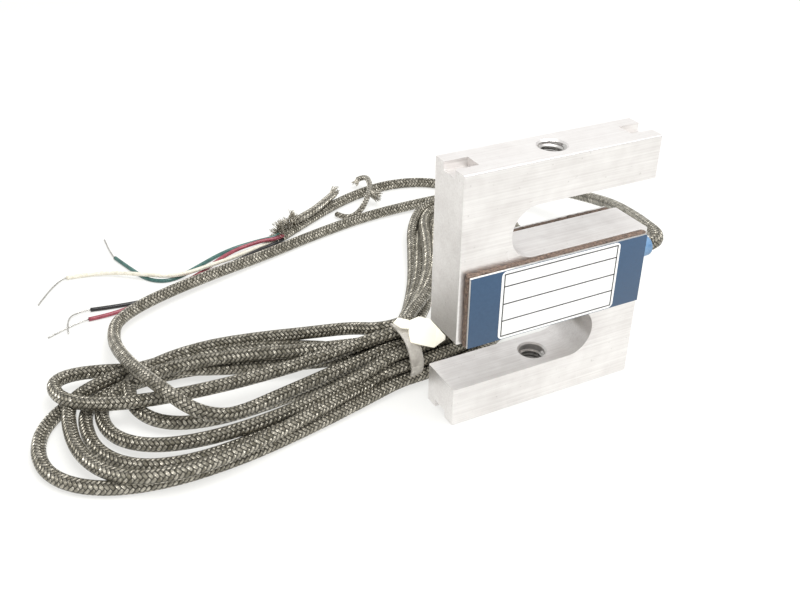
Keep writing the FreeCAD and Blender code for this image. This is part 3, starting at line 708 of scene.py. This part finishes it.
def strandPiece(name, path, strands, seed):
    # fine wires laid round a line; each entry is (how many, how far out, wire radius, windings)
    chance = random.Random(seed)
    tubes, frames, form = [], lineFrames(path), strandForm
    for count, reach, radius, windings in strands:
        for k in range(count):
            phase = 2 * math.pi * k / count + chance.uniform(-form["starts"], form["starts"])
            lift = reach * chance.uniform(*form["reaches"])
            loose = chance.uniform(0.0, form["loosest"])
            strand = []
            for i, (place, side, up) in enumerate(frames):
                share = i / (len(frames) - 1)
                angle = phase + 2 * math.pi * windings * share
                out = lift * (1 + loose * math.sin(form["wavers"] * share + phase))
                strand.append(place + (side * math.cos(angle) + up * math.sin(angle)) * out)
            tubes.append((strand, radius))
    return manyTubes(name, tubes, form["sides"])


# how loose wire ends vary within a tuft, and how each flares out, curls and thins along its length
fibreForm = {"steps": 6, "sides": 5, "lengths": (0.55, 1.0), "flares": (0.2, 1.0), "bends": (-0.5, 0.9),
             "roots": (0.3, 1.0), "curlTurn": 1.6, "shortening": 0.35, "flareRise": 1.5, "flareReach": 0.8,
             "curlReach": 0.4, "thinning": 0.3, "lowest": 0.0002}


def frayPiece(name, tufts, seed):
    # loose ends of the shield's wires: each tuft springs from a place, along a heading, and curls
    chance = random.Random(seed)
    tubes, form = [], fibreForm
    for tuft in tufts:
        heading = Vector(tuft["heading"]).normalized()
        side = heading.orthogonal().normalized()
        up = heading.cross(side)
        for _ in range(tuft["count"]):
            angle = chance.uniform(0, 2 * math.pi)
            curlAngle = angle + form["curlTurn"]
            out = side * math.cos(angle) + up * math.sin(angle)
            curl = side * math.cos(curlAngle) + up * math.sin(curlAngle)
            length = tuft["length"] * chance.uniform(*form["lengths"])
            flare = tuft["flare"] * chance.uniform(*form["flares"])
            bend = chance.uniform(*form["bends"])
            start = Vector(tuft["place"]) + out * tuft["root"] * chance.uniform(*form["roots"])
            fibre = []
            for i in range(form["steps"] + 1):
                share = i / form["steps"]
                at = start + heading * length * share * (1 - form["shortening"] * flare * share)
                at += (out * length * flare * share ** form["flareRise"] * form["flareReach"]
                       + curl * length * bend * form["curlReach"] * share ** 2)
                at.z = max(at.z, form["lowest"])
                fibre.append(at)
            tubes.append((fibre, tuft["wire"]))
    return manyTubes(name, tubes, form["sides"], form["thinning"])


# the cable

cablePath = followRoute(cableRoute(), cable["spacing"])
cablePiece = tubePiece("shieldedCable", cablePath, cable["diameter"] / 2, cable["sides"])
dress(cablePiece, materials["woven_shield"], ("cable_lead", "cable_tail", "cable_hank"))
print("cable made")

# the shield tails at the cut end, and the loose wires of the braid
shieldTails = {
    "laid": [(-0.0225, 0.1008, 0.0042), (-0.0148, 0.1036, 0.00485), (-0.0084, 0.1088, 0.0047),
             (-0.0020, 0.1156, 0.0034)],
    "hooked": [(-0.0054, 0.1054, 0.0012), (-0.0040, 0.1002, 0.0014), (0.0004, 0.0992, 0.0036),
               (0.0062, 0.1056, 0.0052), (0.0112, 0.1142, 0.0052), (0.0136, 0.1232, 0.0042),
               (0.0104, 0.1236, 0.0030)],
    "laidRadius": 0.00125, "laidSides": 16, "hookedRadius": 0.00092, "hookedSides": 14, "spacing": 0.0006,
}
fraySeed = 11


def tuftAt(place, heading, root, length, flare, count, wire=0.00012):
    return {"place": place, "heading": heading, "root": root, "length": length, "flare": flare,
            "count": count, "wire": wire}


frayTufts = [
    tuftAt((-0.0276, 0.0982, 0.0022), (-0.5, -0.1, 0.35), 0.0017, 0.0036, 0.9, 110),
    tuftAt((-0.0250, 0.1000, 0.0032), (-0.2, 0.2, 0.9), 0.0020, 0.0036, 1.0, 120),
    tuftAt((-0.0222, 0.1014, 0.0042), (0.5, 0.1, 0.6), 0.0016, 0.0034, 0.8, 70),
    tuftAt((-0.0030, 0.1144, 0.0038), (0.62, 0.7, 0.1), 0.0012, 0.0040, 0.2, 70, 0.00015),
    tuftAt((0.0106, 0.1234, 0.0031), (-0.6, -0.3, -0.5), 0.0008, 0.0026, 0.4, 30),
    tuftAt((0.0080, 0.1086, 0.0050), (0.8, -0.25, -0.45), 0.0010, 0.0048, 0.4, 110, 0.00013),
]

tailPath = followRoute(shieldTails["hooked"], shieldTails["spacing"])
hookedTail = tubePiece("shieldTailHooked", tailPath, shieldTails["hookedRadius"], shieldTails["hookedSides"])
dress(hookedTail, materials["pulled_shield"], ("shield_tail_hooked",))
laidPath = followRoute(shieldTails["laid"], shieldTails["spacing"])
laidTail = tubePiece("shieldTailLaid", laidPath, shieldTails["laidRadius"], shieldTails["laidSides"])
dress(laidTail, materials["pulled_shield"], ("shield_tail_laid",))
frayedEnds = dress(frayPiece("frayedEnds", frayTufts, fraySeed), materials["bare_shield"])
print("shield tails made")

# the four wires: how far apart they leave the cut end, their first straight run, and the strands inside
wires = {
    "radius": 0.0006, "spread": 0.0007, "firstRun": 0.0026, "spacing": 0.0008, "sides": 14,
    "strands": [(1, 0.0, 0.00008, 0), (6, 0.00016, 0.00008, 4)], "strandSpacing": 0.0005, "strandSeed": 5,
}
# each wire's place at the cut end, its route and its bared end
wireRoutes = {
    "green": {"place": (1, 1),
              "route": [(-0.0354, 0.0988, 0.0013), (-0.0456, 0.0984, 0.0006), (-0.0564, 0.0926, 0.0006),
                        (-0.0654, 0.0874, 0.0006), (-0.0716, 0.0904, 0.0006), (-0.0746, 0.0988, 0.0006),
                        (-0.0774, 0.1086, 0.0006)],
              "bared": [(-0.0776, 0.1225, 0.0003)]},
    "white": {"place": (1, -1),
              "route": [(-0.0356, 0.0962, 0.0008), (-0.0446, 0.0928, 0.0009), (-0.0534, 0.0888, 0.0023),
                        (-0.0646, 0.087, 0.0019), (-0.0744, 0.094, 0.0019), (-0.0834, 0.1016, 0.0007),
                        (-0.0929, 0.1028, 0.0006)],
              "bared": [(-0.1027, 0.0914, 0.0003)]},
    "red": {"place": (-1, 1),
            "route": [(-0.0354, 0.0969, 0.0022), (-0.046, 0.0954, 0.0014), (-0.0564, 0.0886, 0.00062),
                      (-0.0650, 0.0838, 0.0008), (-0.0730, 0.0796, 0.0018), (-0.083, 0.0765, 0.0008),
                      (-0.0918, 0.0772, 0.0006)],
            "bared": [(-0.1032, 0.0732, 0.0003)]},
    "black": {"place": (-1, -1),
              "route": [(-0.0354, 0.0946, 0.0007), (-0.0436, 0.0914, 0.0006), (-0.0506, 0.088, 0.0006),
                        (-0.0640, 0.0820, 0.0006), (-0.0760, 0.0790, 0.0006), (-0.0903, 0.0819, 0.0006)],
              "bared": [(-0.0974, 0.0794, 0.0011), (-0.098, 0.0726, 0.0006)]},
}


cutEnd, beforeCut = Vector(cable["tail"][-1]), Vector(cable["tail"][-2])
cutHeading = (cutEnd - beforeCut).normalized()
cutSide = Vector((cutHeading.y, -cutHeading.x, 0))
for colour, wire in wireRoutes.items():
    across, upright = wire["place"]
    start = cutEnd + cutSide * across * wires["spread"] + Vector((0, 0, upright * wires["spread"]))
    route = [tuple(start), tuple(start + cutHeading * wires["firstRun"])] + wire["route"]
    path = followRoute(route, wires["spacing"])
    piece = tubePiece("wire" + colour.capitalize(), path, wires["radius"], wires["sides"])
    dress(piece, materials["wire_" + colour], ("wire_" + colour,))
    end, before = Vector(route[-1]), Vector(route[-2])
    bare = [route[-1], tuple(end + (end - before).normalized() * wires["firstRun"])] + wire["bared"]
    bared = strandPiece("bared" + colour.capitalize(), followRoute(bare, wires["strandSpacing"]),
                        wires["strands"], wires["strandSeed"])
    dress(bared, materials["tinned_strand"], ("bare_end_" + colour,))
print("wires made")

# the tie round the bundle

# the band is a ring that puckers and narrows at one side; angles are in radians
tieBand = {
    "width": 0.0036, "halfWide": 0.0078, "halfHigh": 0.0064, "thick": 0.0006, "edge": 0.00012,
    "centre": (-0.026, 0.0182, 0.0068), "sides": 64, "cuts": 3, "narrowing": 0.16, "narrowAt": 3.9,
    "seed": 7, "waves": 5, "rates": (2, 7), "shifts": (0, 6), "heights": (0.00005, 0.00012), "slant": 900,
}
# the flag is the tape's folded end in three flat parts
tieFlag = {
    "thick": 0.0005, "edge": 0.00015, "smoothAngle": 25,
    "outline": [(-0.0249, 0.0172, 0.0158), (-0.0223, 0.0171, 0.0163), (-0.0200, 0.0157, 0.0157),
                (-0.0190, 0.0138, 0.0144), (-0.0205, 0.0118, 0.0124), (-0.0216, 0.0103, 0.0110),
                (-0.0238, 0.0116, 0.0115), (-0.0265, 0.0132, 0.0122), (-0.0262, 0.0150, 0.0137)],
    "fold": [(-0.0190, 0.0138, 0.0144), (-0.0179, 0.0113, 0.0127), (-0.0183, 0.0108, 0.0121),
             (-0.0216, 0.0103, 0.0110), (-0.0205, 0.0118, 0.0124)],
    "end": [(-0.0284, 0.0190, 0.0150), (-0.0269, 0.0193, 0.0160), (-0.0249, 0.0172, 0.0160),
            (-0.0258, 0.0157, 0.0145), (-0.0272, 0.0170, 0.0143)],
}


def makeTieBand():
    band = newForm(
        "tieBand", bpy.ops.mesh.primitive_cylinder_add, (tieBand["halfHigh"], tieBand["halfWide"], 1),
        vertices=tieBand["sides"], radius=1, depth=tieBand["width"], end_fill_type="NOTHING",
        location=tieBand["centre"], rotation=(0, math.pi / 2, 0))
    editAll()
    bpy.ops.mesh.subdivide(number_cuts=tieBand["cuts"])
    leaveEdit()
    chance = random.Random(tieBand["seed"])
    waves = [(chance.uniform(*tieBand["rates"]), chance.uniform(*tieBand["shifts"]),
              chance.uniform(*tieBand["heights"])) for _ in range(tieBand["waves"])]
    middle = Vector(tieBand["centre"])
    for vertex in band.data.vertices:
        out = vertex.co - middle
        angle = math.atan2(out.z, out.y)
        slant = out.x * tieBand["slant"]
        pucker = sum(high * math.sin(rate * angle + shift + slant) for rate, shift, high in waves)
        out.x *= 1 - tieBand["narrowing"] * math.cos(angle - tieBand["narrowAt"]) ** 2
        vertex.co = middle + out + Vector((0, out.y, out.z)).normalized() * pucker
    giveWall(band, tieBand["thick"])
    softenEdges(band, tieBand["edge"])
    # the band wears the tape's colour greyed as painted shade
    return dress(band, materials["tie_painted_shade"], ("tie_band",))


def makeTapePart(name, outline):
    # a flat end of the tape: its outline filled, given a wall and softened
    part = newForm(name, bpy.ops.mesh.primitive_circle_add, vertices=len(outline), fill_type="NGON")
    for vertex, place in zip(part.data.vertices, outline):
        vertex.co = place
    editAll()
    bpy.ops.mesh.poke()
    leaveEdit()
    giveWall(part, tieFlag["thick"])
    softenEdges(part, tieFlag["edge"], tieFlag["smoothAngle"])
    return dress(part, materials["tie_cream"], ("tie_flag",))


makeTieBand()
for partName in ("outline", "fold", "end"):
    makeTapePart("tape" + partName.capitalize(), tieFlag[partName])
print("tie made")

# threads in both holes

threads = {
    "major": 0.003175, "minor": 0.00262, "pitch": 0.000907, "turns": 9, "steps": 48, "smoothAngle": 30,
    "sunk": 0.00006, "rootShare": 0.9, "crestShare": 0.18,  # of the pitch, and of the root
    "starts": {"bottomThread": 0.00005, "topThread": 0.05420},
}


def makeThread(name, startZ):
    # a narrow section swept up along the hole's wall
    pitch, outer = threads["pitch"], threads["major"] + threads["sunk"]
    depth = outer - threads["minor"]
    middle = startZ + pitch / 2
    thread = newForm(
        name, bpy.ops.mesh.primitive_plane_add, (depth, pitch * threads["rootShare"], 1), size=1,
        location=(outer - depth / 2, 0, middle), rotation=(math.pi / 2, 0, 0))
    for vertex in thread.data.vertices:
        if vertex.co.x < threads["major"] - depth / 2:
            vertex.co.z = middle + (vertex.co.z - middle) * threads["crestShare"]
    sweep = thread.modifiers.new("sweep", "SCREW")
    sweep.axis = "Z"
    sweep.screw_offset = pitch
    sweep.iterations = threads["turns"]
    sweep.steps = sweep.render_steps = threads["steps"]
    applyModifiers(thread)
    closeUp(thread, threads["smoothAngle"])
    return dress(thread, materials["thread_steel"])


for threadName, startZ in threads["starts"].items():
    makeThread(threadName, startZ)
print("threads made")

# the label: plate, blue film, white panel and its ruled lines

label = {
    "fall": 0.0005, "reach": 0.0004,  # how far the stack runs on below and to the left
    "plateEdge": 0.00012, "filmEdge": 0.00004,  # how far their edges are rounded
    "filmLeft": 0.00012, "filmTop": 0.00015,  # what of the plate shows beside the film
    "corner": 0.0012, "cornerSteps": 6,
    "frameInset": 0.00062, "line": 0.00026, "lift": 0.00004,
    "rows": (0.252, 0.527, 0.808),  # the lines inside the frame, from the bottom to the top
}


def makePanel(low, high):
    # a thin sheet with round corners
    middle = ((low[0] + high[0]) / 2, low[1], (low[2] + high[2]) / 2)
    panel = newForm(
        "labelPanel", bpy.ops.mesh.primitive_plane_add, (high[0] - low[0], high[2] - low[2], 1), size=1,
        location=middle, rotation=(math.pi / 2, 0, 0))
    editAll()
    bpy.ops.mesh.bevel(affect="VERTICES", offset=label["corner"], segments=label["cornerSteps"])
    bpy.ops.mesh.extrude_region_move(TRANSFORM_OT_translate={"value": (0, high[1] - low[1], 0)})
    leaveEdit()
    closeUp(panel)
    return panel


def makeRules(low, high):
    # a frame and three lines across it, as one piece of thin bars
    inset, line, face = label["frameInset"], label["line"], low[1] - label["lift"]
    left, right, bottom, top = low[0] + inset, high[0] - inset, low[2] + inset, high[2] - inset
    bars = [(left, left + line, bottom, top), (right - line, right, bottom, top)]
    for share in (0, *label["rows"], 1):
        height = bottom + (top - bottom - line) * share
        bars.append((left, right, height, height + line))
    parts = [cubePiece("rule", (x0, face, z0), (x1, low[1], z1)) for x0, x1, z0, z1 in bars]
    deselectAll()
    for part in parts:
        part.select_set(True)
    bpy.ops.object.join()
    rules = bpy.context.object
    rules.name = "labelRules"
    return rules


def grownBox(node):
    # the box of a piece of the stack, with its fall and reach
    low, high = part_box(node)
    return (low[0] - label["reach"], low[1], low[2] - label["fall"]), tuple(high)


plateLow, plateHigh = grownBox("front_cover_plate")
plate = cubePiece("frontPlate", plateLow, plateHigh)
softenEdges(plate, label["plateEdge"])
dress(plate, materials["cover_plate"], ("front_cover_plate",))
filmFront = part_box("label_film")[0][1]
film = cubePiece("labelFilm", (plateLow[0] + label["filmLeft"], filmFront, plateLow[2]),
                 (plateHigh[0], plateLow[1], plateHigh[2] - label["filmTop"]))
softenEdges(film, label["filmEdge"])
dress(film, materials["label_blue"], ("label_film",))
panelLow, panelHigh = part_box("label_panel")
panelLow = (panelLow[0] - label["reach"] / 2, panelLow[1], panelLow[2] - label["fall"])
dress(makePanel(panelLow, panelHigh), materials["label_white"], ("label_panel",))
dress(makeRules(panelLow, panelHigh), materials["label_ink"])
print("label made")

# sealing beds with an uneven squeezed edge

# the bead round each bed swells in waves: rates are per metre, shifts in radians, fill is a share of the
# bead, and what lies nearer to the rim than rimReach, a share of a voxel, swells with it
bedding = {
    "bead": 0.00030, "voxel": 0.0004, "bevel": 0.0002, "cuts": 5, "seed": 5, "waves": 9,
    "rates": (250, 2600), "shifts": (0, 6), "depthRate": 0.6, "rimReach": 0.6, "fill": 0.2, "smoothAngle": 60,
}


def makeBed(name, node, corners):
    low, high = (Vector(corner) for corner in corners)
    bed = cubePiece(name, low, high)
    editAll()
    bpy.ops.mesh.bevel(offset=bedding["bevel"], segments=1)
    bpy.ops.mesh.subdivide(number_cuts=bedding["cuts"])
    leaveEdit()
    even = bed.modifiers.new("even", "REMESH")
    even.mode = "VOXEL"
    even.voxel_size = bedding["voxel"]
    applyModifiers(bed)
    chance = random.Random(bedding["seed"])
    waves = [(chance.uniform(*bedding["rates"]), chance.uniform(*bedding["shifts"]))
             for _ in range(bedding["waves"])]
    middle = (low + high) / 2
    half = (high - low) / 2
    for vertex in bed.data.vertices:
        out = vertex.co - middle
        along = vertex.co.x - vertex.co.z + vertex.co.y * bedding["depthRate"]
        swell = sum(math.sin(rate * along + shift) for rate, shift in waves) / len(waves)
        for axis in (0, 2):
            if abs(out[axis]) > half[axis] - bedding["voxel"] * bedding["rimReach"]:
                vertex.co[axis] += math.copysign(bedding["bead"] * (bedding["fill"] + swell), out[axis])
    closeUp(bed, bedding["smoothAngle"])
    return dress(bed, materials["brown_sealant"], (node,))


makeBed("frontBed", "front_sealing_bed", grownBox("front_sealing_bed"))
makeBed("rearBed", "rear_sealing_bed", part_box("rear_sealing_bed"))
print("beds made")

# CAD pieces that keep their own form

nodeFinishes = {
    "load_cell_body": "machined_aluminium", "rear_cover_plate": "cover_plate", "cable_boot": "boot_blue",
    "terminal_board": "terminal_board", "inner_cable": "bare_shield", "inner_lead_red": "wire_red",
    "inner_lead_black": "wire_black", "inner_lead_green": "wire_green", "inner_lead_white": "wire_white",
}
for nodeName, node in cadNodes.items():
    finish = "gauge_film" if nodeName.startswith("strain_gauge") else nodeFinishes.get(nodeName)
    if finish:
        node.data.materials.clear()
        node.data.materials.append(materials[finish])
print("carried pieces dressed")

# floor, light and backdrop

studio = {
    "backdrop": (0.875, 0.88, 0.855),  # as pale as the far floor
    "skyColour": (1.0, 0.995, 0.985), "skyLight": 0.66,
    "floorSize": 40, "floorColour": (0.92, 0.92, 0.90), "floorDark": 0.985,  # its grain's darker share
    "floorGrain": (30,) * 3, "floorRough": 0.75, "floorSheen": 0.2,
    "glowColour": (1.0, 0.997, 0.972), "floorGlow": 0.68,  # how much of it the camera sees as plain paper
    "keyPlace": (0.08, -0.18, 0.70), "keySize": 0.5, "keyPower": 5.6,
    "rimPlace": (0.20, 0.75, 0.60), "rimSize": 1.2, "rimPower": 1.4,
    "aim": (-0.02, 0.03, 0.02),  # where both lamps point
}


def pathShare(tree):
    # 1 for what the camera sees, straight, mirrored or through glass
    path = addNode(tree, "ShaderNodeLightPath").outputs
    seen = calc(tree, "MAXIMUM", path["Is Camera Ray"], path["Is Glossy Ray"])
    return calc(tree, "MAXIMUM", seen, path["Is Transmission Ray"])


def makeFloor():
    floor = newForm("floor", bpy.ops.mesh.primitive_plane_add, size=studio["floorSize"])
    material, tree, surface = newMaterial("floorPaper")
    grain = useGroup(tree, finishGrain, {"Vector": objectPlace(tree), "Stretch": studio["floorGrain"]})
    colour = studio["floorColour"]
    darker = [part * studio["floorDark"] for part in colour]
    feed(tree, surface, {"Base Color": blend(tree, grain["Mask"], (*darker, 1), (*colour, 1)),
                         "Roughness": studio["floorRough"], "Specular IOR Level": studio["floorSheen"]})
    glow = addNode(tree, "ShaderNodeEmission", {"Color": (*studio["glowColour"], 1), "Strength": 1.0})
    seen = times(tree, pathShare(tree), studio["floorGlow"])
    mixed = addNode(tree, "ShaderNodeMixShader", {0: seen, 1: surface.outputs[0], 2: glow.outputs[0]})
    feed(tree, tree.nodes["Material Output"], {"Surface": mixed.outputs[0]})
    floor.data.materials.append(material)


def makeLamp(name):
    place = studio[name + "Place"]
    data = bpy.data.lights.new(name + "Lamp", "AREA")
    data.size = studio[name + "Size"]
    data.energy = studio[name + "Power"]
    lamp = bpy.data.objects.new(name + "Lamp", data)
    lamp.location = place
    lamp.visible_camera = False
    lamp.rotation_euler = (Vector(place) - Vector(studio["aim"])).to_track_quat("Z", "Y").to_euler()
    show(lamp)


def makeSky():
    world = bpy.data.worlds.new("paleRoom")
    world.use_nodes = True
    bpy.context.scene.world = world
    tree = world.node_tree
    soft = tree.nodes["Background"]
    feed(tree, soft, {"Color": (*studio["skyColour"], 1), "Strength": studio["skyLight"]})
    white = addNode(tree, "ShaderNodeBackground", {"Color": (*studio["backdrop"], 1), "Strength": 1.0})
    path = addNode(tree, "ShaderNodeLightPath").outputs
    seen = calc(tree, "MAXIMUM", path["Is Camera Ray"], path["Is Transmission Ray"])
    mixed = addNode(tree, "ShaderNodeMixShader", {0: seen, 1: soft.outputs[0], 2: white.outputs[0]})
    feed(tree, tree.nodes["World Output"], {"Surface": mixed.outputs[0]})


makeFloor()
makeSky()
makeLamp("key")
makeLamp("rim")
bpy.context.scene.view_settings.view_transform = "Standard"
print("studio made")
